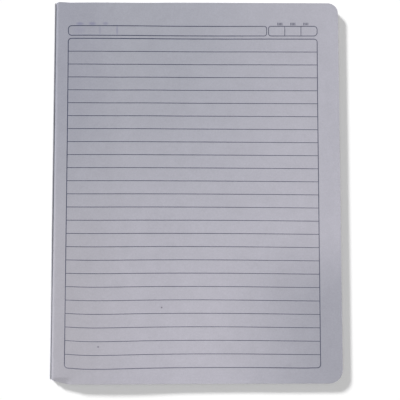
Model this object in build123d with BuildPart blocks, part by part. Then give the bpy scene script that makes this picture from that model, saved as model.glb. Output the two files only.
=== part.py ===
from build123d import *
import os

# A stapled exercise book lying with its front cover folded right round
# underneath, so that the first ruled page is on top.
# +Z is up, +Y is the head of the page, and the spine is on the -X side.
# All sizes are in millimetres.

# leaves
page_width = 180.0
page_height = 240.0
leaf_thickness = 0.08
leaf_count = 60
corner_radius = 6.5

# swell of the leaves beside the fold
swell_height = 1.1
swell_peak = 32.0
swell_end = 92.0
spine_shoulder = 0.8

# spine corners, worn back at the foot and softened at the head
foot_wear_run = 9.5
foot_wear_rise = 1.9
head_wear_run = 3.0
head_wear_rise = 0.9

# cover card, and the room it is given where it moves
card = 0.3
cover_gap = 0.15
closed_gap = 0.27
fold_bore = 0.1
turn_gap = 0.1

# wire staples
wire = 0.5
wire_gap = 0.1
crown_length = 12.5
clinch_length = 4.5
staple_inset = 58.0
staple_rise = 0.1

# ruling, set in from the edges of the page
line_width = 0.38
border_width = 0.5
line_pitch = 8.26
spine_margin = 8.1
fore_margin = 13.6
head_margin = 23.4
least_foot_margin = 8.0
border_corner = 2.3

# heading row over the ruling
heading_rise = 2.0
heading_height = 6.2
heading_gap = 1.3
outer_corner = 2.8
inner_corner = 1.5
date_box_width = 30.6
date_cells = 3
label_width = 3.5
label_height = 1.3
label_pitch = 8.3
label_gap = 0.7

# printed ink, a thin skin on the paper
ink_thickness = 0.06
ink_lift = 0.02

# heights over the underside of the leaves
block_bottom = 2 * card + cover_gap
block_thickness = leaf_count * leaf_thickness
swell_top = block_thickness + swell_height
panel_z = card / 2 - block_bottom
closed_panel_z = swell_top + ink_lift + ink_thickness + closed_gap + card / 2
fold_z = (closed_panel_z + panel_z) / 2
fold_radius = fold_bore + card
staple_z = fold_z - fold_radius - wire_gap / 2 - wire / 2
lower_round = staple_z - staple_rise
upper_round = swell_top - fold_z - spine_shoulder
strip_foot = panel_z + card / 2 + turn_gap

# places across the book, from the outermost leaf at the spine
wire_x = -card - wire / 2
clinch_x = block_thickness / 2 + wire / 2
fold_outside = -2 * card - wire - wire_gap
fold_x = fold_outside + fold_radius
strip_x = fold_outside + card / 2
cover_shift = 2 * (fold_x - strip_x)
nose_x = -(page_width + fold_outside) / 2

# places on the page, from the spine and the foot
border_left = spine_margin
border_right = page_width - fore_margin
border_top = page_height - head_margin
row_count = int((border_top - least_foot_margin) / line_pitch)
border_height = row_count * line_pitch
border_middle = ((border_left + border_right) / 2, border_top - border_height / 2)
heading_low = border_top + heading_rise
heading_middle = heading_low + heading_height / 2
date_box_left = border_right - date_box_width
name_box_right = date_box_left - heading_gap
date_box_middle = date_box_left + date_box_width / 2
label_middle = heading_low + heading_height + label_gap + label_height / 2

# Local x runs from the spine to the fore-edge, local y up from the underside
# of the leaves.
spine_section = Plane(origin=(nose_x, 0, block_bottom), x_dir=(1, 0, 0), z_dir=(0, -1, 0))
# The page seen from above: local x from the spine, local y from the foot.
page_view = Plane(origin=(nose_x, -page_height / 2, 0))
ink_view = page_view.offset(block_bottom + block_thickness / 2)


def bent_wire(place, thickness):
    """A closed staple: its crown outside the spine, its legs bent inside the fold."""
    shoulder = crown_length / 2
    leg_middle = (wire_x + clinch_x) / 2
    clinch_middle = shoulder - clinch_length / 2
    level = Plane(origin=(nose_x, place - page_height / 2, block_bottom + staple_z))
    with BuildPart(level) as shape:
        with Locations((wire_x, 0)):
            Cylinder(thickness / 2, crown_length, rotation=(90, 0, 0))
        with Locations((leg_middle, -shoulder), (leg_middle, shoulder)):
            Cylinder(thickness / 2, clinch_x - wire_x, rotation=(0, 90, 0))
        with Locations((clinch_x, -clinch_middle), (clinch_x, clinch_middle)):
            Cylinder(thickness / 2, clinch_length, rotation=(90, 0, 0))
        with Locations([(x, y) for x in (wire_x, clinch_x) for y in (-shoulder, shoulder)]):
            Sphere(thickness / 2)
    return shape.part


def heading_box(left, right, left_corner, right_corner):
    """The drawn outline of one box of the heading row."""
    with BuildSketch() as box:
        with Locations(((left + right) / 2, heading_middle)):
            Rectangle(right - left, heading_height)
        fillet(box.vertices().group_by(Axis.X)[0], radius=left_corner)
        fillet(box.vertices().group_by(Axis.X)[-1], radius=right_corner)
        offset(amount=border_width / 2)
        offset(amount=-border_width, mode=Mode.SUBTRACT)
    return box.sketch


staples = {
    "upper_staple": page_height - staple_inset,
    "lower_staple": staple_inset,
}
staple_rooms = [bent_wire(place, wire + wire_gap) for place in staples.values()]

# The outline that the leaves and both covers are trimmed to.
with BuildPart() as trimming:
    with BuildSketch(page_view) as trim_outline:
        with BuildLine():
            Polyline(
                (fold_outside, foot_wear_rise),
                (foot_wear_run, 0),
                (page_width, 0),
                (page_width, page_height),
                (head_wear_run, page_height),
                (fold_outside, page_height - head_wear_rise),
                close=True,
            )
        make_face()
        fillet(trim_outline.vertices().sort_by(Axis.X)[-2:], radius=corner_radius)
    extrude(amount=2 * (block_bottom + swell_top))

# The folded leaves, one thick block with a rounded spine and a swell beside it.
with BuildPart() as page_block:
    with BuildSketch(spine_section) as leaf_section:
        with BuildLine():
            swell_start = (swell_peak, swell_top)
            half_way = ((swell_peak + swell_end) / 2, block_thickness + swell_height / 2)
            reach = swell_peak - upper_round
            climb = swell_top - fold_z
            long_radius = (reach**2 + climb**2 - upper_round**2) / (2 * (climb - upper_round))
            meeting = upper_round / (long_radius - upper_round)
            round_end = (upper_round - reach * meeting, fold_z + (long_radius - climb) * meeting)
            Polyline(
                (lower_round, 0),
                (page_width, 0),
                (page_width, block_thickness),
                (swell_end, block_thickness),
            )
            TangentArc((swell_end, block_thickness), half_way, tangent=(-1, 0))
            TangentArc(swell_start, half_way, tangent=(1, 0))
            TangentArc(swell_start, round_end, tangent=(-1, 0))
            TangentArc((0, fold_z), round_end, tangent=(0, 1))
            Line((0, fold_z), (0, lower_round))
            TangentArc((0, lower_round), (lower_round, 0), tangent=(0, -1))
        make_face()
    extrude(amount=page_height / 2, both=True)
    add(trimming.part, mode=Mode.INTERSECT)
    add(staple_rooms, mode=Mode.SUBTRACT)

# The back cover lies under the leaves and wraps the spine up to the fold.
with BuildPart() as back_cover:
    with BuildSketch(spine_section):
        with BuildLine():
            Polyline(
                (lower_round, 0),
                (page_width, 0),
                (page_width, -card),
                (lower_round, -card),
            )
            TangentArc((lower_round, -card), (-card, lower_round), tangent=(-1, 0))
            Line((-card, lower_round), (-card, fold_z))
            TangentArc((-card, fold_z), (0, fold_z), tangent=(0, 1))
            Line((0, fold_z), (0, lower_round))
            TangentArc((0, lower_round), (lower_round, 0), tangent=(0, -1))
        make_face()
    extrude(amount=page_height / 2, both=True)
    add(trimming.part, mode=Mode.INTERSECT)
    add(staple_rooms, mode=Mode.SUBTRACT)

# The turn of the cover at the spine: a small hook over the staples, and a
# strip as high as half the closed book.
with BuildPart() as cover_fold:
    with BuildSketch(spine_section):
        with BuildLine():
            Polyline(
                (fold_outside, fold_z),
                (fold_outside, strip_foot),
                (fold_outside + card, strip_foot),
                (fold_outside + card, fold_z),
            )
            TangentArc((fold_x - fold_bore, fold_z), (fold_x + fold_bore, fold_z), tangent=(0, 1))
            Line((fold_x + fold_bore, fold_z), (fold_x + fold_radius, fold_z))
            TangentArc((fold_outside, fold_z), (fold_x + fold_radius, fold_z), tangent=(0, 1))
        make_face()
    extrude(amount=page_height / 2, both=True)
    add(trimming.part, mode=Mode.INTERSECT)

# The front cover, face down under the book, with a rounded edge at its turn.
with BuildPart() as front_cover:
    with BuildSketch(spine_section):
        with BuildLine():
            Polyline(
                (strip_x, panel_z - card / 2),
                (page_width, panel_z - card / 2),
                (page_width, panel_z + card / 2),
                (strip_x, panel_z + card / 2),
            )
            TangentArc(
                (strip_x, panel_z + card / 2), (strip_x, panel_z - card / 2), tangent=(-1, 0)
            )
        make_face()
    extrude(amount=page_height / 2, both=True)
    with Locations((-cover_shift, 0, 0)):
        add(trimming.part, mode=Mode.INTERSECT)

# A skin just over the leaves, from which the printing is cut.
with BuildPart() as ink_skin:
    with BuildSketch(spine_section):
        offset(leaf_section.sketch_local, amount=ink_lift + ink_thickness)
        offset(leaf_section.sketch_local, amount=ink_lift, mode=Mode.SUBTRACT)
    extrude(amount=page_height / 2, both=True)

# The border with its round corners and the ruled lines across it.
with BuildPart() as page_ruling:
    with BuildSketch(ink_view):
        with Locations(border_middle):
            RectangleRounded(
                border_right - border_left + border_width,
                border_height + border_width,
                border_corner + border_width / 2,
            )
            RectangleRounded(
                border_right - border_left - border_width,
                border_height - border_width,
                border_corner - border_width / 2,
                mode=Mode.SUBTRACT,
            )
            with GridLocations(line_pitch, line_pitch, 1, row_count - 1):
                Rectangle(border_right - border_left, line_width)
    extrude(amount=block_thickness + swell_height)
    add(ink_skin.part, mode=Mode.INTERSECT)

# The heading row: a long box, a date box in cells, and a bar over each cell.
with BuildPart() as page_heading:
    with BuildSketch(ink_view):
        add(heading_box(border_left, name_box_right, outer_corner, inner_corner))
        add(heading_box(date_box_left, border_right, inner_corner, outer_corner))
        with Locations((date_box_middle, heading_middle)):
            with GridLocations(date_box_width / date_cells, line_pitch, date_cells - 1, 1):
                Rectangle(line_width, heading_height)
        with Locations((date_box_middle, label_middle)):
            with GridLocations(label_pitch, line_pitch, date_cells, 1):
                Rectangle(label_width, label_height)
    extrude(amount=block_thickness + swell_height)
    add(ink_skin.part, mode=Mode.INTERSECT)

os.makedirs("parts", exist_ok=True)

page_block.part.label = "page_block"
export_step(page_block.part, "parts/page_block.step")

page_ruling.part.label = "page_ruling"
export_step(page_ruling.part, "parts/page_ruling.step")

page_heading.part.label = "page_heading"
export_step(page_heading.part, "parts/page_heading.step")

back_cover.part.label = "back_cover"
export_step(back_cover.part, "parts/back_cover.step")

cover_fold.part.label = "cover_fold"
export_step(cover_fold.part, "parts/cover_fold.step")

front_cover.part.label = "front_cover"
export_step(front_cover.part, "parts/front_cover.step")

for name, place in staples.items():
    staple = bent_wire(place, wire)
    staple.label = name
    export_step(staple, f"parts/{name}.step")
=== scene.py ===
import math
import random

import bmesh
import bpy
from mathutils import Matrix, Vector


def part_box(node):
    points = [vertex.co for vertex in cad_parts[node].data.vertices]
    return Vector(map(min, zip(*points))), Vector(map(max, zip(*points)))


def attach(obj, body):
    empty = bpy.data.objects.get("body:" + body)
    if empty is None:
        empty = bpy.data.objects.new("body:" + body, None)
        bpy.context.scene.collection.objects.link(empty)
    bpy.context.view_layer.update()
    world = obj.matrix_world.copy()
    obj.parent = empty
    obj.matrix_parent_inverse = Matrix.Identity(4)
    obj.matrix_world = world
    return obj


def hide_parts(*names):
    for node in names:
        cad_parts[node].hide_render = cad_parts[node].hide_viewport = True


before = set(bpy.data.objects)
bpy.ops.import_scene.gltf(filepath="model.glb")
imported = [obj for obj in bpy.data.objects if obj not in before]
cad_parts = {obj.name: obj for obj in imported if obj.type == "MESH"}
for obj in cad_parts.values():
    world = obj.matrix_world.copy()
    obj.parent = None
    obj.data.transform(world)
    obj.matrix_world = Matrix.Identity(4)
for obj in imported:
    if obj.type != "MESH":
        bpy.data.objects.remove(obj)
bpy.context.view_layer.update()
random.seed(60)

mm = 0.001
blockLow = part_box("page_block")[0]  # the corner of the leaves at the spine and the foot, on their underside


def place(x, y, z):  # millimetres from the spine, the foot and the underside of the leaves
    return (blockLow.x + x * mm, blockLow.y + y * mm, blockLow.z + z * mm)


def linearColour(hexCode):  # sRGB hex to the linear colour that a shader wants
    parts = [int(hexCode[start:start + 2], 16) / 255 for start in (1, 3, 5)]
    linear = [part / 12.92 if part <= 0.04045 else ((part + 0.055) / 1.055) ** 2.4 for part in parts]
    return (*linear, 1.0)


def addNode(tree, kind, settings=None, values=None, links=None):  # values and links by socket
    node = tree.nodes.new(kind)
    for name, value in (settings or {}).items():
        setattr(node, name, value)
    for socket, value in (values or {}).items():
        node.inputs[socket].default_value = value
    for socket, source in (links or {}).items():
        tree.links.new(source, node.inputs[socket])
    return node


def newMaterial(name, finish):  # finish: values of the shader's own sockets
    material = bpy.data.materials.new(name)
    material.use_nodes = True
    tree = material.node_tree
    tree.nodes.clear()
    shader = addNode(tree, "ShaderNodeBsdfPrincipled", values=finish)
    addNode(tree, "ShaderNodeOutputMaterial", links={"Surface": shader.outputs["BSDF"]})
    return material, tree, shader


meshSet = {
    "weld": 0.0004,  # points closer than this are one, in millimetres
    "sliver": 0.0002,
    "sharpAngle": 35.0,  # in degrees
}


def newPiece(name, points, faces, materials, slots=None):  # one closed mesh, smooth but for its sharp edges
    mesh = bpy.data.meshes.new(name)
    mesh.from_pydata(points, [], faces)
    for material in materials:
        mesh.materials.append(material)
    if slots:
        mesh.polygons.foreach_set("material_index", slots)
    cleaner = bmesh.new()
    cleaner.from_mesh(mesh)
    bmesh.ops.remove_doubles(cleaner, verts=cleaner.verts, dist=meshSet["weld"] * mm)
    bmesh.ops.dissolve_degenerate(cleaner, edges=cleaner.edges, dist=meshSet["sliver"] * mm)
    bmesh.ops.recalc_face_normals(cleaner, faces=cleaner.faces)
    cleaner.to_mesh(mesh)
    cleaner.free()
    mesh.shade_smooth()
    mesh.set_sharp_from_angle(angle=math.radians(meshSet["sharpAngle"]))
    piece = bpy.data.objects.new(name, mesh)
    bpy.context.scene.collection.objects.link(piece)
    return piece


def spread(start, end, count):  # count + 1 even steps
    return [start + (end - start) * step / count for step in range(count + 1)]


def arcPoints(middleX, middleZ, radius, start, end, steps):  # angles in degrees, from the fore-edge side
    turns = [math.radians(angle) for angle in spread(start, end, steps)]
    return [(middleX + radius * math.cos(turn), middleZ + radius * math.sin(turn)) for turn in turns]


def easeStep(share):  # 0 to 1 with a soft start and end
    share = min(1.0, max(0.0, share))
    return share * share * (3 - 2 * share)


# Camera over the page and a little below its middle, as in the photograph.
cameraSet = {
    "place": (-0.002615, -0.03631, 0.44294),  # in metres
    "turn": (0.0681, -0.0113, 0.0007),  # in radians
    "lens": 62.91,
    "sensor": 36.0,
    "nearest": 0.01,
}
camera = bpy.data.objects.new("page_camera", bpy.data.cameras.new("page_camera"))
camera.data.lens = cameraSet["lens"]
camera.data.sensor_width = cameraSet["sensor"]
camera.data.sensor_fit = "HORIZONTAL"
camera.data.clip_start = cameraSet["nearest"]
camera.rotation_mode = "ZYX"
camera.rotation_euler = cameraSet["turn"]
camera.location = cameraSet["place"]
bpy.context.scene.collection.objects.link(camera)
bpy.context.scene.camera = camera

lightSet = {
    "keyFrom": (-1.25, 1.29, 1.0),  # from the upper left of the page
    "keyStrength": 3.62,
    "keyAngle": 9.0,  # in degrees: how soft the edge of the shadow is
    "topStrength": 0.88,
    "topAngle": 50.0,
    "roomStrength": 0.17,
}
key = bpy.data.objects.new("window_light", bpy.data.lights.new("window_light", "SUN"))
key.data.energy = lightSet["keyStrength"]
key.data.angle = math.radians(lightSet["keyAngle"])
key.rotation_euler = Vector(lightSet["keyFrom"]).to_track_quat("Z", "Y").to_euler()
top = bpy.data.objects.new("ceiling_light", bpy.data.lights.new("ceiling_light", "SUN"))
top.data.energy = lightSet["topStrength"]
top.data.angle = math.radians(lightSet["topAngle"])
for lamp in (key, top):
    bpy.context.scene.collection.objects.link(lamp)

# The room is white where the camera sees it, and gives a low even light.
room = bpy.data.worlds.new("white_room")
room.use_nodes = True
roomTree = room.node_tree
roomTree.nodes.clear()
path = addNode(roomTree, "ShaderNodeLightPath")
direct = addNode(roomTree, "ShaderNodeMath", {"operation": "MAXIMUM"},
                 links={0: path.outputs["Is Camera Ray"], 1: path.outputs["Is Glossy Ray"]})
seen = addNode(roomTree, "ShaderNodeMath", {"operation": "MAXIMUM"},
               links={0: direct.outputs[0], 1: path.outputs["Is Transmission Ray"]})
strength = addNode(roomTree, "ShaderNodeMapRange", values={"To Min": lightSet["roomStrength"], "To Max": 1.0},
                   links={"Value": seen.outputs[0]})
glow = addNode(roomTree, "ShaderNodeBackground", values={"Color": (1, 1, 1, 1)},
               links={"Strength": strength.outputs[0]})
addNode(roomTree, "ShaderNodeOutputWorld", links={"Surface": glow.outputs[0]})
bpy.context.scene.world = room
bpy.context.scene.view_settings.view_transform = "Standard"

# A matt white table, lifted to plain white where the camera sees it lit.
tableSet = {
    "reach": 3.0,  # in metres, from the middle to each side
    "drop": 0.02,  # in millimetres, just clear of the front cover
    "colour": "#F3F3F3",
    "lift": 0.11,
}
tableFinish = {
    "Base Color": linearColour(tableSet["colour"]),
    "Roughness": 1.0,
    "Specular IOR Level": 0.0,
    "Emission Color": (1, 1, 1, 1),
}
tableMaterial, tableTree, tableShader = newMaterial("matt_white_laminate", tableFinish)
tablePath = addNode(tableTree, "ShaderNodeLightPath")
tableSeen = addNode(tableTree, "ShaderNodeMath", {"operation": "MAXIMUM"},
                    links={0: tablePath.outputs["Is Camera Ray"], 1: tablePath.outputs["Is Glossy Ray"]})
tableLift = addNode(tableTree, "ShaderNodeMath", {"operation": "MULTIPLY"}, {1: tableSet["lift"]},
                    {0: tableSeen.outputs[0]})
tableTree.links.new(tableLift.outputs[0], tableShader.inputs["Emission Strength"])
tableSides = ((-1, -1), (1, -1), (1, 1), (-1, 1))
tableCorners = [(x * tableSet["reach"], y * tableSet["reach"], 0) for x, y in tableSides]
table = newPiece("table_top", tableCorners, [(0, 1, 2, 3)], [tableMaterial])
table.location.z = -tableSet["drop"] * mm
print("camera, light and table are set")


# The folded leaves, in millimetres.
leaves = {
    "width": 180.0,
    "height": 240.0,
    "thickness": 4.8,
    "sheets": 30,  # folded once each, so 60 leaves
    "headRadius": 6.5,  # of the corner between the head and the fore-edge
    "footRadius": 8.3,
    "swellHeight": 1.1,
    "swellPeak": 32.0,
    "swellEnd": 92.0,
    "noseRadius": 2.2,  # the upper round of the spine
    "foldHeight": 2.9,  # where the upper round starts
    "lowerRadius": 2.1,
    "footWear": (9.9, 2.75),  # run and rise of the worn corner at the foot of the spine
    "headWear": (3.0, 0.35),
    "headCut": (2.0, 8.0, 50.0, 30.0, 0.48),  # a little short at the head: start, run, end, fade and depth
    "spineReach": 1.2,  # how far the cover's turn stands out past the leaves
    "shoulder": 14.0,  # the page turns down to the spine from here
    "fineSteps": (22, 36, 14, 22),  # of the outer sheet's section: flat, swell, shoulder and underside
    "coarseSteps": (9, 14, 6, 12),  # and of the others
    "upperTurn": (102, 172, 6),  # the upper round of the spine: first and last angle, and steps
    "lowerTurn": (195, 270, 5),
    "followOver": 1.2,  # the sheets follow the page's waves from this far over the fold's height,
    "followFade": 2.2,  # and less and less over this run below it
    "airShare": 0.1,  # of a sheet's room
    "trimJitter": 0.12,  # how much shorter a sheet is, at most, at the head and at the foot,
    "foreJitter": 0.18,  # and at the fore-edge,
    "foreStart": 20.0,  # growing from here on
}

# A few very shallow waves, as paper takes up in a damp room.
cockle = {
    # Height, length across, length up and phase of each.
    "waves": [(0.035, 95.0, 160.0, 0.4), (0.028, 61.0, -118.0, 2.1), (0.018, -47.0, 74.0, 4.0)],
    "room": 0.08,  # the waves lie this far under the plain page
    "foldCalm": 2.5,  # none up to here,
    "foldFade": 14.0,  # rising over this run
    "foreFade": 12.0,  # falling over this run before the fore-edge,
    "foreLeast": 0.35,  # where a little is left
}

# The foot corner at the spine is bent down along a crease.
bentCorner = {
    "run": 9.6,  # from the spine
    "fade": 3.6,
    "crease": 4.0,  # how far the crease lies from the foot
    "drop": 0.78,
    "ridge": 0.06,  # a low ridge stands along the crease
    "ridgeWidth": 0.5,
    "start": 3.0,  # and rises over this run from the spine
}


def swellOver(x):  # height of the first page: flat, an easy rise, a long fall and the round of the spine
    flat, rise, fold = leaves["thickness"], leaves["swellHeight"], leaves["foldHeight"]
    peak, end, nose = leaves["swellPeak"], leaves["swellEnd"], leaves["noseRadius"]
    halfRun = (end - peak) / 2
    easyRadius = (halfRun**2 + (rise / 2) ** 2) / rise
    reach, climb = peak - nose, flat + rise - fold
    longRadius = (reach**2 + climb**2 - nose**2) / (2 * (climb - nose))
    if x >= end:
        return flat
    if x >= peak + halfRun:
        return flat + easyRadius - math.sqrt(easyRadius**2 - (end - x) ** 2)
    if x >= peak:
        return flat + rise - easyRadius + math.sqrt(easyRadius**2 - (x - peak) ** 2)
    if x >= nose - reach * nose / (longRadius - nose):
        return flat + rise - longRadius + math.sqrt(longRadius**2 - (peak - x) ** 2)
    return fold + math.sqrt(max(0.0, nose**2 - (x - nose) ** 2))


def edgeInset(x, wear, radius):
    # How far an edge lies inside the plain rectangle: worn at the spine, and round at the fore-edge.
    run, rise = wear
    past = x - (leaves["width"] - radius)
    if past > 0:
        return radius - math.sqrt(max(0.0, radius**2 - past**2))
    return max(0.0, rise * (run - x) / (run + leaves["spineReach"]))


def footEdge(x):
    return edgeInset(x, leaves["footWear"], leaves["footRadius"])


def headEdge(x):
    start, run, end, fade, depth = leaves["headCut"]
    cut = depth * easeStep((x - start) / run) * (1 - easeStep((x - end) / fade))
    return leaves["height"] - edgeInset(x, leaves["headWear"], leaves["headRadius"]) - cut


def pageDrop(x, y):  # how far the page lies under the plain section: the bent corner and the cockles
    crease = bentCorner["crease"]
    ridge = bentCorner["ridge"] * math.exp(-((y - crease) / bentCorner["ridgeWidth"]) ** 2)
    slope = bentCorner["drop"] * max(0.0, crease - y) / crease
    held = 1 - easeStep((x - bentCorner["run"]) / bentCorner["fade"])
    bend = held * (slope - ridge * easeStep(x / bentCorner["start"]))
    calm = easeStep((x - cockle["foldCalm"]) / cockle["foldFade"])
    calm *= easeStep((leaves["width"] - x) / cockle["foreFade"] + cockle["foreLeast"])
    wave = sum(rise * math.sin(2 * math.pi * (x / across + y / up) + phase)
               for rise, across, up, phase in cockle["waves"])
    return bend + calm * (cockle["room"] + wave)


def pageHeight(x, y):
    return swellOver(x) - pageDrop(x, y)


# Columns round the fore-edge corners, from the edge inwards.
cornerTurns = [math.radians(angle) for angle in (90, 80, 70, 59, 47, 34, 20, 9, 0)]
cornerColumns = [leaves["width"] - leaves["footRadius"] * (1 - math.sin(turn)) for turn in cornerTurns]


def leafSection(flatSteps, swellSteps, shoulderSteps, underSteps):
    # Points from the upper fore-edge over the page, round the spine and back along the underside. Each is
    # x, z, whether it is on the page, and the x at the fold's middle, where the nested sheets close in.
    nose, fold, lower = leaves["noseRadius"], leaves["foldHeight"], leaves["lowerRadius"]
    shoulder = leaves["shoulder"]
    columns = cornerColumns + spread(cornerColumns[-1], leaves["swellEnd"], flatSteps)[1:]
    columns += spread(leaves["swellEnd"], shoulder, swellSteps)[1:]
    columns += spread(shoulder, nose, shoulderSteps)[1:]
    upper = [(x, swellOver(x)) for x in columns] + arcPoints(nose, fold, nose, *leaves["upperTurn"])
    below = [(0.0, fold), (0.0, lower)] + arcPoints(lower, lower, lower, *leaves["lowerTurn"])
    below += [(x, 0.0) for x in spread(lower, cornerColumns[-1], underSteps)[1:] + cornerColumns[-2::-1]]
    foldX = leaves["thickness"] / 2
    lines = ((upper, True), (below, False))
    return [(x, z, onPage, max(x, foldX)) for line, onPage in lines for x, z in line]


def foldedSheet(section, heights, outer, inner, footTrim, headTrim, foreTrims):
    # One sheet, folded at the spine. Its two faces lie at the shares outer and inner of the way to the middle
    # of the fold.
    middle, free = leaves["thickness"] / 2, leaves["width"] - leaves["foreStart"]
    followHeight = leaves["foldHeight"] + leaves["followOver"]
    points, faces = [], []
    columns, rows = len(section), len(heights)
    for share in (outer, inner):
        for column, (x, z, onPage, foldX) in enumerate(section):
            foot, head = footEdge(x) + footTrim, headEdge(x) - headTrim
            short = foreTrims[0 if column < columns / 2 else 1] * max(0.0, x - leaves["foreStart"]) / free
            follow = 1 - easeStep((followHeight - z) / leaves["followFade"]) if onPage else 0.0
            for height in heights:
                y = foot + (head - foot) * height
                level = z - follow * pageDrop(x, y)
                points.append(place(x + (foldX - x) * share - short, y, level + (middle - level) * share))
    far = columns * rows
    for column in range(columns - 1):
        for row in range(rows - 1):
            near = column * rows + row
            faces.append((near, near + 1, near + 1 + rows, near + rows))
            faces.append((near + far, near + rows + far, near + 1 + rows + far, near + 1 + far))
        for near in (column * rows, column * rows + rows - 1):
            faces.append((near, near + rows, near + rows + far, near + far))
    for column in (0, columns - 1):
        for near in range(column * rows, column * rows + rows - 1):
            faces.append((near, near + 1, near + 1 + far, near + far))
    return points, faces


# The first page's tones and painted shades, in millimetres from the spine and the foot.
pageTone = {
    "paper": "#B6B4BE",
    # Painted shade for uneven light, each over one or two fades: axis, from, to, least and most share.
    "paintedShades": [
        ("#ABA9B1", [("X", 62, 5, 0, 1)]),  # beside the spine
        ("#A4A5AF", [("Y", 22, 228, 0, 1), ("X", 70, 175, 1, 0.38)]),  # towards the head
        ("#9A9BA6", [("X", 52, 6, 0, 1), ("Y", 80, 205, 0, 1)]),  # at the head of the spine
        ("#A0A0AA", [("X", 95, 176, 0, 1), ("Y", 98, 50, 0, 1)]),  # painted shadow at the foot of the fore-edge
        ("#8A8A93", [("X", 3, 0.8, 0, 0.2)]),  # painted shade that dims the lit round of the fold
    ],
    # The heading row of the leaf's other side shows through: middle x and y, half width and height, share.
    "ghosts": [
        (14.9, 221.5, 3.4, 2.4, 0.22), (28.2, 221.5, 0.6, 2.9, 0.3), (39.1, 221.5, 0.6, 2.9, 0.55),
        (15.3, 225.8, 2.0, 0.9, 0.78), (23.3, 225.8, 1.9, 1.0, 0.75), (31.7, 225.9, 1.5, 0.9, 0.58),
    ],
    "ghostInk": "#83839B",
    "ghostFade": (1.7, 0.3),  # none and full, in shares of the half sizes
    "face": (3.0, 4.0),  # none and full: heights that keep the marks off the underside
    "specks": [(67.95, 46.7, 0.55), (28.95, 22.7, 0.54)],  # middle x and y, radius
    "speckFade": (1.25, 0.6),  # none and full, in shares of the radius
    "speckHex": "#5E5A68",
    "speckShare": 0.7,
    # Size and shade of the soft clouds and of the flecks that fibres form. A real fleck is about 0.3 wide,
    # too fine to show, so it is drawn three times as coarse.
    "fibres": [(9.0, 0.03), (0.9, 0.05)],
    "noise": (0.28, 0.72),  # the part of the noise that goes from dark to light
    "tooth": 0.35,  # from fibre to fibre
    "toothDepth": 0.02,
}


def pagePlace(tree):
    # The shaded point in millimetres from the spine, the foot and the leaves' underside, and its three axes.
    where = addNode(tree, "ShaderNodeTexCoord")
    fromCorner = addNode(tree, "ShaderNodeVectorMath", {"operation": "SUBTRACT"}, {1: tuple(blockLow)},
                         {0: where.outputs["Object"]})
    inMm = addNode(tree, "ShaderNodeVectorMath", {"operation": "SCALE"}, {"Scale": 1 / mm},
                   {0: fromCorner.outputs[0]})
    return inMm, addNode(tree, "ShaderNodeSeparateXYZ", links={0: inMm.outputs[0]})


def fadeShare(tree, axes, fades):  # soft fades along the axes, multiplied
    share = None
    for axis, start, end, least, most in fades:
        fade = addNode(tree, "ShaderNodeMapRange", {"interpolation_type": "SMOOTHSTEP"},
                       {"From Min": start, "From Max": end, "To Min": least, "To Max": most},
                       {"Value": axes.outputs[axis]})
        if share:
            fade = addNode(tree, "ShaderNodeMath", {"operation": "MULTIPLY"},
                           links={0: share, 1: fade.outputs[0]})
        share = fade.outputs[0]
    return share


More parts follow.
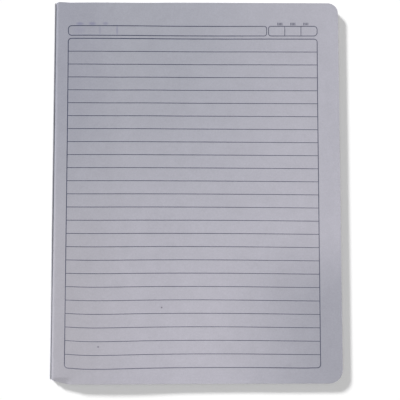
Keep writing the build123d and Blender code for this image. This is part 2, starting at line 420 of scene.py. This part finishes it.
def writingPaper():
    # Uncoated writing paper, calendered: quite matt, cloudy where the fibres lie thicker, with a faint tooth.
    finish = {"Roughness": 0.86, "Specular IOR Level": 0.25}
    material, tree, shader = newMaterial("calendered_writing_paper", finish)
    inMm, axes = pagePlace(tree)
    colour = None
    # Painted shade: these greys darken the page where its light falls off.
    for hexCode, fades in pageTone["paintedShades"]:
        grey = addNode(tree, "ShaderNodeMix", {"data_type": "RGBA"},
                       {"A": linearColour(pageTone["paper"]), "B": linearColour(hexCode)},
                       {"Factor": fadeShare(tree, axes, fades)})
        if colour:
            tree.links.new(colour, grey.inputs["A"])
        colour = grey.outputs["Result"]

    darkest, lightest = pageTone["noise"]
    for size, shade in pageTone["fibres"]:
        fibres = addNode(tree, "ShaderNodeTexNoise", values={
            "Scale": 1 / size, "Detail": 3.0, "Roughness": 0.65,
        }, links={"Vector": inMm.outputs[0]})
        tone = addNode(tree, "ShaderNodeMapRange", values={
            "From Min": darkest, "From Max": lightest, "To Min": 1 - shade, "To Max": 1 + shade,
        }, links={"Value": fibres.outputs["Fac"]})
        colour = addNode(tree, "ShaderNodeVectorMath", {"operation": "SCALE"},
                         links={0: colour, "Scale": tone.outputs[0]}).outputs[0]

    lowest, full = pageTone["face"]
    onFace = addNode(tree, "ShaderNodeMapRange", values={"From Min": lowest, "From Max": full},
                     links={"Value": axes.outputs["Z"]})
    outermost, inner = pageTone["ghostFade"]
    for middleX, middleY, halfWidth, halfHeight, most in pageTone["ghosts"]:
        away = addNode(tree, "ShaderNodeVectorMath", {"operation": "SUBTRACT"}, {1: (middleX, middleY, 0)},
                       {0: inMm.outputs[0]})
        scaled = addNode(tree, "ShaderNodeVectorMath", {"operation": "MULTIPLY"},
                         {1: (1 / halfWidth, 1 / halfHeight, 0)}, {0: away.outputs[0]})
        reach = addNode(tree, "ShaderNodeVectorMath", {"operation": "LENGTH"}, links={0: scaled.outputs[0]})
        mark = addNode(tree, "ShaderNodeMapRange", {"interpolation_type": "SMOOTHSTEP"},
                       {"From Min": outermost, "From Max": inner, "To Max": most},
                       {"Value": reach.outputs["Value"]})
        shown = addNode(tree, "ShaderNodeMath", {"operation": "MULTIPLY"},
                        links={0: mark.outputs[0], 1: onFace.outputs[0]})
        colour = addNode(tree, "ShaderNodeMix", {"data_type": "RGBA"},
                         {"B": linearColour(pageTone["ghostInk"])},
                         {"A": colour, "Factor": shown.outputs[0]}).outputs["Result"]
    outermost, inner = pageTone["speckFade"]
    for middleX, middleY, radius in pageTone["specks"]:
        away = addNode(tree, "ShaderNodeVectorMath", {"operation": "DISTANCE"},
                       {1: (middleX, middleY, pageHeight(middleX, middleY))}, {0: inMm.outputs[0]})
        dot = addNode(tree, "ShaderNodeMapRange", values={
            "From Min": radius * outermost, "From Max": radius * inner, "To Max": pageTone["speckShare"],
        }, links={"Value": away.outputs["Value"]})
        colour = addNode(tree, "ShaderNodeMix", {"data_type": "RGBA"},
                         {"B": linearColour(pageTone["speckHex"])},
                         {"A": colour, "Factor": dot.outputs[0]}).outputs["Result"]
    tree.links.new(colour, shader.inputs["Base Color"])

    tooth = addNode(tree, "ShaderNodeTexNoise", values={
        "Scale": 1 / pageTone["tooth"], "Detail": 4.0, "Distortion": 0.6,
    }, links={"Vector": inMm.outputs[0]})
    bump = addNode(tree, "ShaderNodeBump", values={"Strength": 0.3, "Distance": pageTone["toothDepth"] * mm},
                   links={"Height": tooth.outputs["Fac"]})
    tree.links.new(bump.outputs["Normal"], shader.inputs["Normal"])
    return material


edgeTone = {
    # painted shade: the dark tone stands for the shade in the gaps between the leaves
    "dark": "#96949E",
    "light": "#BDBCC6",
    "line": 0.16,  # as high as two leaves, since one is too fine to show
    "length": 14.0,
    "noise": (0.3, 0.68),
    "lineDepth": 0.03,
}


def leafEdges():
    # The same paper where the guillotine cut it: matt, with fine lines along the leaves and painted shade
    # between them.
    finish = {"Roughness": 0.92, "Specular IOR Level": 0.2}
    material, tree, shader = newMaterial("guillotined_paper_edge", finish)
    where = addNode(tree, "ShaderNodeTexCoord")
    along, across = 1 / (edgeTone["length"] * mm), 1 / (edgeTone["line"] * mm)
    stretch = addNode(tree, "ShaderNodeMapping", values={"Scale": (along, along, across)},
                      links={"Vector": where.outputs["Object"]})
    lines = addNode(tree, "ShaderNodeTexNoise", values={"Scale": 1.0, "Detail": 3.0, "Roughness": 0.65},
                    links={"Vector": stretch.outputs[0]})
    darkest, lightest = edgeTone["noise"]
    share = addNode(tree, "ShaderNodeMapRange", values={"From Min": darkest, "From Max": lightest},
                    links={"Value": lines.outputs["Fac"]})
    tone = addNode(tree, "ShaderNodeMix", {"data_type": "RGBA"},
                   {"A": linearColour(edgeTone["dark"]), "B": linearColour(edgeTone["light"])},
                   {"Factor": share.outputs[0]})
    tree.links.new(tone.outputs["Result"], shader.inputs["Base Color"])
    bump = addNode(tree, "ShaderNodeBump", values={"Strength": 0.5, "Distance": edgeTone["lineDepth"] * mm},
                   links={"Height": lines.outputs["Fac"]})
    tree.links.new(bump.outputs["Normal"], shader.inputs["Normal"])
    return material


paper = writingPaper()
paperEdge = leafEdges()
sheetRoom = 1.0 / leaves["sheets"]
filled = 1 - leaves["airShare"]


def leafRows(rows):  # shares of the page's height
    return [row / leaves["height"] for row in rows]


# Rows stand closer together at the bent foot corner and at the head.
footRows = [0, 0.4, 0.8, 1.2, 1.6, 2.0, 2.5, 3.0, 3.6, 4.5, 6, 8, 11]
fineRows = footRows + spread(15, 228, 42) + [232, 235, 237, 238.5, 239.3, 240]
coarseRows = [0, 0.8, 1.6, 2.5, 3.6, 6, 11, 40, 80, 120, 160, 200, 232, 240]
fineSection, coarseSection = leafSection(*leaves["fineSteps"]), leafSection(*leaves["coarseSteps"])
sheetPoints, sheetFaces = foldedSheet(fineSection, leafRows(fineRows), 0.0, sheetRoom * filled,
                                      0.0, 0.0, (0.0, 0.0))
outerSheet = newPiece("outer_sheet", sheetPoints, sheetFaces, [paper])

innerPoints, innerFaces = [], []
for nested in range(1, leaves["sheets"]):
    trims = [random.uniform(0.0, leaves["trimJitter"]) for _ in range(2)]
    foreTrims = [random.uniform(0.0, leaves["foreJitter"]) for _ in range(2)]
    sheetPoints, sheetFaces = foldedSheet(coarseSection, leafRows(coarseRows), sheetRoom * nested,
                                          sheetRoom * (nested + filled), *trims, foreTrims)
    innerFaces += [tuple(corner + len(innerPoints) for corner in face) for face in sheetFaces]
    innerPoints += sheetPoints
innerSheets = newPiece("inner_sheets", innerPoints, innerFaces, [paperEdge])
for piece in (outerSheet, innerSheets):
    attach(piece, "book")
    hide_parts("page_block")
print("leaves are folded:", len(outerSheet.data.polygons), "and", len(innerSheets.data.polygons), "faces")


# Printing, in millimetres from the spine and the foot.
printing = {
    "left": 8.1,
    "right": 166.4,
    "top": 216.6,
    "bottom": 10.1,
    "corner": 2.0,
    "cornerSteps": 8,
    "pitch": 8.26,
    "rows": 25,
    "lineWidth": 0.38,
    "borderWidth": 0.5,
    "headingWidth": 0.46,
    "lift": 0.02,
    "inkThickness": 0.03,
    "headingLow": 218.6,
    "headingHigh": 224.8,
    "headingGap": 1.3,
    "dateWidth": 31.0,
    "dateCells": 3,
    "outerCorner": 2.2,
    "innerCorner": 1.5,
    "labelPitch": 8.3,
    "labelLow": 225.4,
    "labelHigh": 227.1,
    "labelWidth": 3.5,
    "labelStrokes": 4,
    "step": 2.4,  # how closely the ink follows the waves of the page
    # How the printing strays, with x and y as shares of these lengths from the middle of the page.
    "strayScale": (80.0, 105.0),
    "strayLeft": -0.8,  # no further towards the spine than this share
    "strayDown": -0.19,
    "strayAcross": (0.07, -0.13, 0.28),  # everywhere, narrowing outwards, widening to the head
    "strayUp": (0.43, -0.24, 0.47, -0.32, -0.41),  # tilt at the ends and everywhere, bow's rise, bow, sway
    # Soft local bends of the lines: middle x and y, reach across and up, and rise.
    "strayBends": [
        (6, -10, 9, 70, 0.9), (36, 20, 14, 60, -0.15), (36, 190, 18, 30, -0.2),
        (150, 45, 32, 30, -0.22), (168, 4, 8, 10, 0.45),
    ],
}
inkTone = {
    "dark": "#2B3049",
    "light": "#3E445B",
    "patch": 2.2,  # size of the patches where the ink lies thinner or thicker
    "noise": (0.3, 0.72),
    "depth": 0.01,
    # Partly painted light: the ink pales with the page's painted shades, and partly its print is thinner.
    # Where the ink is paler, each over one or two fades: axis, from, to, least and most share.
    "thin": [
        [("X", 55, 135, 0, 0.035)],
        [("Y", 180, 50, 0, 0.09)],
        [("X", 100, 145, 0, 0.09), ("Y", 45, 80, 0, 1)],
        [("Y", 75, 50, 0, 0.1), ("X", 130, 100, 0, 1)],
        [("Y", 14, 11, 0, 0.12), ("X", 140, 125, 0, 1)],  # the foot of the border
    ],
}


def offsetInk():
    # Offset ink in a dark grey violet, sunk into the paper: flat, uneven in density, and paler towards the
    # foot and the fore-edge, partly thinner print and partly painted light that follows the page's painted
    # shades.
    finish = {"Roughness": 0.72, "Specular IOR Level": 0.25}
    material, tree, shader = newMaterial("grey_violet_offset_ink", finish)
    where = addNode(tree, "ShaderNodeTexCoord")
    axes = pagePlace(tree)[1]
    density = addNode(tree, "ShaderNodeTexNoise", values={
        "Scale": 1 / (inkTone["patch"] * mm), "Detail": 3.0, "Roughness": 0.6,
    }, links={"Vector": where.outputs["Object"]})
    darkest, lightest = inkTone["noise"]
    share = addNode(tree, "ShaderNodeMapRange", values={"From Min": darkest, "From Max": lightest},
                    links={"Value": density.outputs["Fac"]})
    tone = addNode(tree, "ShaderNodeMix", {"data_type": "RGBA"},
                   {"A": linearColour(inkTone["dark"]), "B": linearColour(inkTone["light"])},
                   {"Factor": share.outputs[0]})
    colour = tone.outputs["Result"]
    for fades in inkTone["thin"]:
        colour = addNode(tree, "ShaderNodeMix", {"data_type": "RGBA"}, {"B": linearColour(pageTone["paper"])},
                         {"A": colour, "Factor": fadeShare(tree, axes, fades)}).outputs["Result"]
    tree.links.new(colour, shader.inputs["Base Color"])
    bump = addNode(tree, "ShaderNodeBump", values={"Strength": 0.2, "Distance": inkTone["depth"] * mm},
                   links={"Height": density.outputs["Fac"]})
    tree.links.new(bump.outputs["Normal"], shader.inputs["Normal"])
    return material


def inkStray(x, y):  # the printing strays by up to 0.8 mm from its true lines, as on the photographed page
    halfAcross, halfUp = printing["strayScale"]
    across = max(printing["strayLeft"], (x - leaves["width"] / 2) / halfAcross)
    up = (y - leaves["height"] / 2) / halfUp
    even, narrowing, widening = printing["strayAcross"]
    tiltEnds, tilt, bowRise, bow, sway = printing["strayUp"]
    strayX = even + across * (narrowing + widening * max(0.0, up) ** 3)
    strayY = across * (tiltEnds * up**2 + tilt) + across**2 * (bowRise * up + bow) + sway * up * (1 - up**2)
    for middleX, middleY, reachX, reachY, rise in printing["strayBends"]:
        strayY += rise * math.exp(-((x - middleX) / reachX) ** 2 - ((y - middleY) / reachY) ** 2)
    return x + strayX, y + strayY + printing["strayDown"]


def inkRibbon(points, faces, line, width, closed=False):
    # A flat ribbon of ink along a line of page points, lying on the page, with four corners at each point.
    count, base = len(line), len(points)
    low, high = printing["lift"], printing["lift"] + printing["inkThickness"]
    for index, (x, y) in enumerate(line):
        before = line[index - 1] if closed or index else line[0]
        after = line[(index + 1) % count] if closed or index < count - 1 else line[-1]
        alongX, alongY = after[0] - before[0], after[1] - before[1]
        half = width / 2 / math.hypot(alongX, alongY)
        for side, rise in ((1, low), (-1, low), (-1, high), (1, high)):
            edgeX, edgeY = inkStray(x - side * alongY * half, y + side * alongX * half)
            points.append(place(edgeX, edgeY, pageHeight(edgeX, edgeY) + rise))
    for index in range(count if closed else count - 1):
        here, there = base + 4 * index, base + 4 * ((index + 1) % count)
        for side, following in ((0, 1), (1, 2), (2, 3), (3, 0)):
            faces.append((here + side, there + side, there + following, here + following))
    if not closed:
        last = base + 4 * (count - 1)
        faces += [(base, base + 1, base + 2, base + 3), (last + 3, last + 2, last + 1, last)]


def straightRun(start, end):
    steps = max(1, round(math.dist(start, end) / printing["step"]))
    return list(zip(spread(start[0], end[0], steps), spread(start[1], end[1], steps)))


def roundedBox(left, right, low, high, leftCorner, rightCorner):
    corners = [(left, low, leftCorner, 180), (right, low, rightCorner, 270)]
    corners += [(right, high, rightCorner, 0), (left, high, leftCorner, 90)]
    arcs = []
    for x, y, radius, turn in corners:
        middleX = x + radius if x == left else x - radius
        middleY = y + radius if y == low else y - radius
        arcs.append(arcPoints(middleX, middleY, radius, turn, turn + 90, printing["cornerSteps"]))
    line = []
    for arc, following in zip(arcs, arcs[1:] + arcs[:1]):
        line += arc + straightRun(arc[-1], following[0])[1:-1]
    return line


ink = offsetInk()
inset = printing["borderWidth"] / 2
border = roundedBox(*(printing[side] for side in ("left", "right", "bottom", "top", "corner", "corner")))
rulingPoints, rulingFaces = [], []
inkRibbon(rulingPoints, rulingFaces, border, printing["borderWidth"], closed=True)
for row in range(1, printing["rows"]):
    y = printing["top"] - row * printing["pitch"]
    ruled = straightRun((printing["left"] + inset, y), (printing["right"] - inset, y))
    inkRibbon(rulingPoints, rulingFaces, ruled, printing["lineWidth"])
ruling = newPiece("ruled_lines", rulingPoints, rulingFaces, [ink])
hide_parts("page_ruling")

headingPoints, headingFaces = [], []
low, high = printing["headingLow"], printing["headingHigh"]
dateLeft = printing["right"] - printing["dateWidth"]
outer, inner = printing["outerCorner"], printing["innerCorner"]
nameBox = roundedBox(printing["left"], dateLeft - printing["headingGap"], low, high, outer, inner)
dateBox = roundedBox(dateLeft, printing["right"], low, high, inner, outer)
for box in (nameBox, dateBox):
    inkRibbon(headingPoints, headingFaces, box, printing["headingWidth"], closed=True)
for divider in spread(dateLeft, printing["right"], printing["dateCells"])[1:-1]:
    upright = straightRun((divider, low + inset), (divider, high - inset))
    inkRibbon(headingPoints, headingFaces, upright, printing["lineWidth"])
for cell in (-1, 0, 1):  # a row of short strokes stands over each cell
    middle = dateLeft + printing["dateWidth"] / 2 + cell * printing["labelPitch"]
    stroke = printing["labelWidth"] / printing["labelStrokes"]
    for index in range(printing["labelStrokes"]):
        x = middle + stroke * (index + 0.5) - printing["labelWidth"] / 2
        ends = [(x, printing["labelLow"]), (x, printing["labelHigh"])]
        inkRibbon(headingPoints, headingFaces, ends, stroke / 2)
heading = newPiece("heading_row", headingPoints, headingFaces, [ink])
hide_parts("page_heading")
for piece in (ruling, heading):
    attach(piece, "book")
print("page is printed")


# The card cover, in millimetres from the spine and the underside of the leaves.
cover = {
    "card": 0.3,
    "panelHeight": -0.6,  # middle of the front cover, under the leaves
    "turnOut": -1.2,  # outer face of the turn at the spine
    "turnX": -0.8,  # middle of the hook over the staples
    "bore": 0.1,
    "turnFoot": -0.35,
    "shift": 0.5,  # the front cover stops this short of the fore-edge while it is folded under
    "rows": 60,  # points from foot to head,
    "panelSteps": 24,  # and steps along each stretch of the section
    "wrapSteps": 8,
    "stripSteps": 4,
    "hookSteps": 12,
    "rimSteps": (3, 4),  # round the rim of the back and of the front cover
}
cardTone = {
    # Outside, dyed board under a thin varnish, with a soft sheen.
    "outside": {
        "roughness": 0.45, "dark": "#46566B", "light": "#52637A", "mottle": 6.0,
        "fleck": "#6C7C92", "rubbedAndLit": "#A4A6AE", "rubAndLightShare": 0.5,
    },
    # Inside, its bare grey back, quite matt.
    "inside": {
        "roughness": 0.85, "dark": "#77777C", "light": "#85858A", "mottle": 3.5,
        "fleck": "#9A9A9C", "rubbedAndLit": "#CBCAD0", "rubAndLightShare": 1.0,
    },
    "noise": (0.32, 0.7),
    "toothDepth": 0.03,
    "tooth": 0.9,  # the felt side of card shows bumps of about this size
    "flecks": (0.63, 0.72, 0.35),  # where a fleck starts, where it is full, and how much it shows
    "rubAndLightHeight": (2.6, 3.1),  # the crest of the bend at the spine is paler from here up: rubbed, and painted light over the crevice's shade
    "rubAndLightY": (105.0, 36.0),  # and most of all at the foot
    "rubAndLightLeast": 0.35,
}


def coverBoard(name, side):
    # One side of the board: mottled, with flecks of fibre and a fine tooth, and pale where it bends at the
    # spine:
    # partly rubbed, partly painted light that lifts the shade of the crevice there.
    material, tree, shader = newMaterial(name, {"Roughness": side["roughness"], "Specular IOR Level": 0.35})
    where = addNode(tree, "ShaderNodeTexCoord")
    axes = pagePlace(tree)[1]
    clouds = addNode(tree, "ShaderNodeTexNoise", values={
        "Scale": 1 / (side["mottle"] * mm), "Detail": 4.0, "Roughness": 0.62,
    }, links={"Vector": where.outputs["Object"]})
    darkest, lightest = cardTone["noise"]
    share = addNode(tree, "ShaderNodeMapRange", values={"From Min": darkest, "From Max": lightest},
                    links={"Value": clouds.outputs["Fac"]})
    tone = addNode(tree, "ShaderNodeMix", {"data_type": "RGBA"},
                   {"A": linearColour(side["dark"]), "B": linearColour(side["light"])},
                   {"Factor": share.outputs[0]})
    tooth = addNode(tree, "ShaderNodeTexNoise", values={
        "Scale": 1 / (cardTone["tooth"] * mm), "Detail": 2.0, "Distortion": 1.4,
    }, links={"Vector": where.outputs["Object"]})
    start, full, most = cardTone["flecks"]
    fleck = addNode(tree, "ShaderNodeMapRange", values={"From Min": start, "From Max": full, "To Max": most},
                    links={"Value": tooth.outputs["Fac"]})
    flecked = addNode(tree, "ShaderNodeMix", {"data_type": "RGBA"}, {"B": linearColour(side["fleck"])},
                      {"A": tone.outputs["Result"], "Factor": fleck.outputs[0]})
    # Partly wear and partly painted light: the crest is lifted pale against the crevice's shade, most at the
    # foot.
    (crestStart, crestEnd), (footStart, footEnd) = cardTone["rubAndLightHeight"], cardTone["rubAndLightY"]
    atCrest = addNode(tree, "ShaderNodeMapRange", {"interpolation_type": "SMOOTHSTEP"},
                      {"From Min": crestStart, "From Max": crestEnd, "To Max": side["rubAndLightShare"]},
                      {"Value": axes.outputs["Z"]})
    atFoot = addNode(tree, "ShaderNodeMapRange", {"interpolation_type": "SMOOTHSTEP"},
                     {"From Min": footStart, "From Max": footEnd, "To Min": cardTone["rubAndLightLeast"]},
                     {"Value": axes.outputs["Y"]})
    rubAndLightMask = addNode(tree, "ShaderNodeMath", {"operation": "MULTIPLY"},
                  links={0: atCrest.outputs[0], 1: atFoot.outputs[0]})
    rubbedAndLit = addNode(tree, "ShaderNodeMix", {"data_type": "RGBA"}, {"B": linearColour(side["rubbedAndLit"])},
                     {"A": flecked.outputs["Result"], "Factor": rubAndLightMask.outputs[0]})
    tree.links.new(rubbedAndLit.outputs["Result"], shader.inputs["Base Color"])
    bump = addNode(tree, "ShaderNodeBump", values={"Strength": 0.4, "Distance": cardTone["toothDepth"] * mm},
                   links={"Height": tooth.outputs["Fac"]})
    tree.links.new(bump.outputs["Normal"], shader.inputs["Normal"])
    return material


cardOutside = coverBoard("varnished_blue_cover_board", cardTone["outside"])
cardInside = coverBoard("grey_backed_duplex_board", cardTone["inside"])


def cardPiece(name, outsideLine, insideLine, shift=0.0):
    # A strip of card bent along two lines of its section, with each face in its own finish.
    columns, rows = len(outsideLine), cover["rows"]
    points, faces, slots = [], [], []
    for line in (outsideLine, insideLine):
        for x, z in line:
            points += [place(x, y, z) for y in spread(footEdge(x + shift), headEdge(x + shift), rows - 1)]
    far = columns * rows
    for column in range(columns - 1):
        for row in range(rows - 1):
            near = column * rows + row
            faces.append((near, near + 1, near + 1 + rows, near + rows))
            faces.append((near + far, near + rows + far, near + 1 + rows + far, near + 1 + far))
            slots += [0, 1]
        for near in (column * rows, column * rows + rows - 1):
            faces.append((near, near + rows, near + rows + far, near + far))
            slots.append(1)
    cutEnd = 1 if outsideLine[0][0] > 0 else 0  # the card is cut at the fore-edge, and runs on at the bends
    for column, slot in ((0, cutEnd), (columns - 1, 0)):
        for near in range(column * rows, column * rows + rows - 1):
            faces.append((near, near + 1, near + 1 + far, near + far))
            slots.append(slot)
    return newPiece(name, points, faces, [cardOutside, cardInside], slots)


card, fold, lower = cover["card"], leaves["foldHeight"], leaves["lowerRadius"]
wrapSteps, (backRim, frontRim) = cover["wrapSteps"], cover["rimSteps"]
panelColumns = cornerColumns + spread(cornerColumns[-1], lower, cover["panelSteps"])[1:]
wrapOutside = [(x, -card) for x in panelColumns]
wrapOutside += arcPoints(lower, lower, lower + card, 270, 180, wrapSteps)[1:]
wrapOutside += [(-card, fold)] + arcPoints(-card / 2, fold, card / 2, 180, 90, backRim)[1:]
wrapInside = [(x, 0.0) for x in panelColumns] + arcPoints(lower, lower, lower, 270, 180, wrapSteps)[1:]
wrapInside += [(0.0, fold)] + arcPoints(-card / 2, fold, card / 2, 0, 90, backRim)[1:]
backBoard = cardPiece("back_board", wrapOutside, wrapInside)
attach(backBoard, "book")
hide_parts("back_cover")

stripHeights = spread(cover["turnFoot"], fold, cover["stripSteps"])
turnInside = [(cover["turnOut"], z) for z in stripHeights]
turnInside += arcPoints(cover["turnX"], fold, cover["bore"] + card, 180, 0, cover["hookSteps"])[1:]
turnOutside = [(cover["turnOut"] + card, z) for z in stripHeights]
turnOutside += arcPoints(cover["turnX"], fold, cover["bore"], 180, 0, cover["hookSteps"])[1:]
spineTurn = cardPiece("spine_turn", turnOutside, turnInside)
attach(spineTurn, "fold")
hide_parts("cover_fold")

panelMiddle, panelEnd = cover["panelHeight"], cover["turnOut"] + card / 2
frontColumns = [x - cover["shift"] for x in panelColumns]
frontColumns += spread(frontColumns[-1], panelEnd, cover["stripSteps"])[1:]
panelTop = [(x, panelMiddle + card / 2) for x in frontColumns]
panelTop += arcPoints(panelEnd, panelMiddle, card / 2, 90, 180, frontRim)[1:]
panelUnder = [(x, panelMiddle - card / 2) for x in frontColumns]
panelUnder += arcPoints(panelEnd, panelMiddle, card / 2, 270, 180, frontRim)[1:]
frontBoard = cardPiece("front_board", panelTop, panelUnder, cover["shift"])
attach(frontBoard, "cover")
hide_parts("front_cover")
print("cover is bent round the spine")


# The wire staples, in millimetres.
staples = {
    "wire": 0.5,
    "crown": 12.5,
    "clinch": 4.5,
    "inset": 58.0,
    "crownX": -0.55,
    "clinchX": 2.65,
    "level": 2.2,
    "bend": 0.45,
    "bendSteps": 6,
    "sides": 16,
    "endSize": 0.72,  # the cut ends are a little smaller,
    "endRun": 0.3,  # over this share of the wire's radius
    "dark": "#8E8F92",
    "light": "#C9CACC",
    "drawLine": 0.06,  # the die's own lines are far finer, too fine to show
    "drawLength": 2.5,
    "drawDepth": 0.01,
    "noise": (0.3, 0.7),
    "roughness": (0.25, 0.42),
}


def drawnWire():
    # Galvanised steel wire, drawn through a die: bright, with fine lines along it that break up its shine.
    material, tree, shader = newMaterial("drawn_galvanised_wire", {"Metallic": 1.0})
    where = addNode(tree, "ShaderNodeTexCoord")
    fine, long = 1 / (staples["drawLine"] * mm), 1 / (staples["drawLength"] * mm)
    stretch = addNode(tree, "ShaderNodeMapping", values={"Scale": (fine, long, fine)},
                      links={"Vector": where.outputs["Object"]})
    lines = addNode(tree, "ShaderNodeTexNoise", values={"Scale": 1.0, "Detail": 2.0},
                    links={"Vector": stretch.outputs[0]})
    tone = addNode(tree, "ShaderNodeMix", {"data_type": "RGBA"},
                   {"A": linearColour(staples["dark"]), "B": linearColour(staples["light"])},
                   {"Factor": lines.outputs["Fac"]})
    tree.links.new(tone.outputs["Result"], shader.inputs["Base Color"])
    (lowest, highest), (smooth, dull) = staples["noise"], staples["roughness"]
    rough = addNode(tree, "ShaderNodeMapRange", values={
        "From Min": lowest, "From Max": highest, "To Min": smooth, "To Max": dull,
    }, links={"Value": lines.outputs["Fac"]})
    tree.links.new(rough.outputs[0], shader.inputs["Roughness"])
    bump = addNode(tree, "ShaderNodeBump", values={"Strength": 0.3, "Distance": staples["drawDepth"] * mm},
                   links={"Height": lines.outputs["Fac"]})
    tree.links.new(bump.outputs["Normal"], shader.inputs["Normal"])
    return material


def bentLine(corners, radius, steps):  # a line through the corners, each square corner rounded
    line = [Vector(corners[0])]
    for before, corner, after in zip(corners, corners[1:], corners[2:]):
        inward, outward = (Vector(side) - Vector(corner) for side in (before, after))
        inward.normalize()
        outward.normalize()
        centre = Vector(corner) + (inward + outward) * radius
        for turn in spread(0, math.pi / 2, steps):
            line.append(centre - outward * radius * math.cos(turn) - inward * radius * math.sin(turn))
    return line + [Vector(corners[-1])]


def wirePiece(name, line, radius):
    # A round wire along a flat line, its cut ends slightly rounded off.
    sides, upward = staples["sides"], Vector((0, 0, 1))
    endStep = staples["endRun"] * radius
    spots = [line[0], line[0] + (line[1] - line[0]).normalized() * endStep] + line[1:-1]
    spots += [line[-1] + (line[-2] - line[-1]).normalized() * endStep, line[-1]]
    points, faces = [], []
    for index, spot in enumerate(spots):
        along = spots[min(len(spots) - 1, index + 1)] - spots[max(0, index - 1)]
        across = along.cross(upward).normalized()
        size = radius * (staples["endSize"] if index in (0, len(spots) - 1) else 1.0)
        for turn in spread(0, 2 * math.pi, sides)[:-1]:
            points.append(place(*(spot + (across * math.cos(turn) + upward * math.sin(turn)) * size)))
    for ring in range(0, len(points) - sides, sides):
        for side in range(sides):
            here, there = ring + side, ring + (side + 1) % sides
            faces.append((here, there, there + sides, here + sides))
    faces += [tuple(range(sides)), tuple(range(len(points) - 1, len(points) - 1 - sides, -1))]
    return newPiece(name, points, faces, [wire])


wire = drawnWire()
crownX, clinchX, level = staples["crownX"], staples["clinchX"], staples["level"]
for end, middle in (("lower", staples["inset"]), ("upper", leaves["height"] - staples["inset"])):
    reach = staples["crown"] / 2
    tip = reach - staples["clinch"]
    leg = [(clinchX, tip), (clinchX, reach), (crownX, reach)]
    corners = [(x, middle - y, level) for x, y in leg] + [(x, middle + y, level) for x, y in reversed(leg)]
    bent = bentLine(corners, staples["bend"], staples["bendSteps"])
    staple = wirePiece(end + "_wire_staple", bent, staples["wire"] / 2)
    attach(staple, "book")
    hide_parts(end + "_staple")
print("staples are closed")
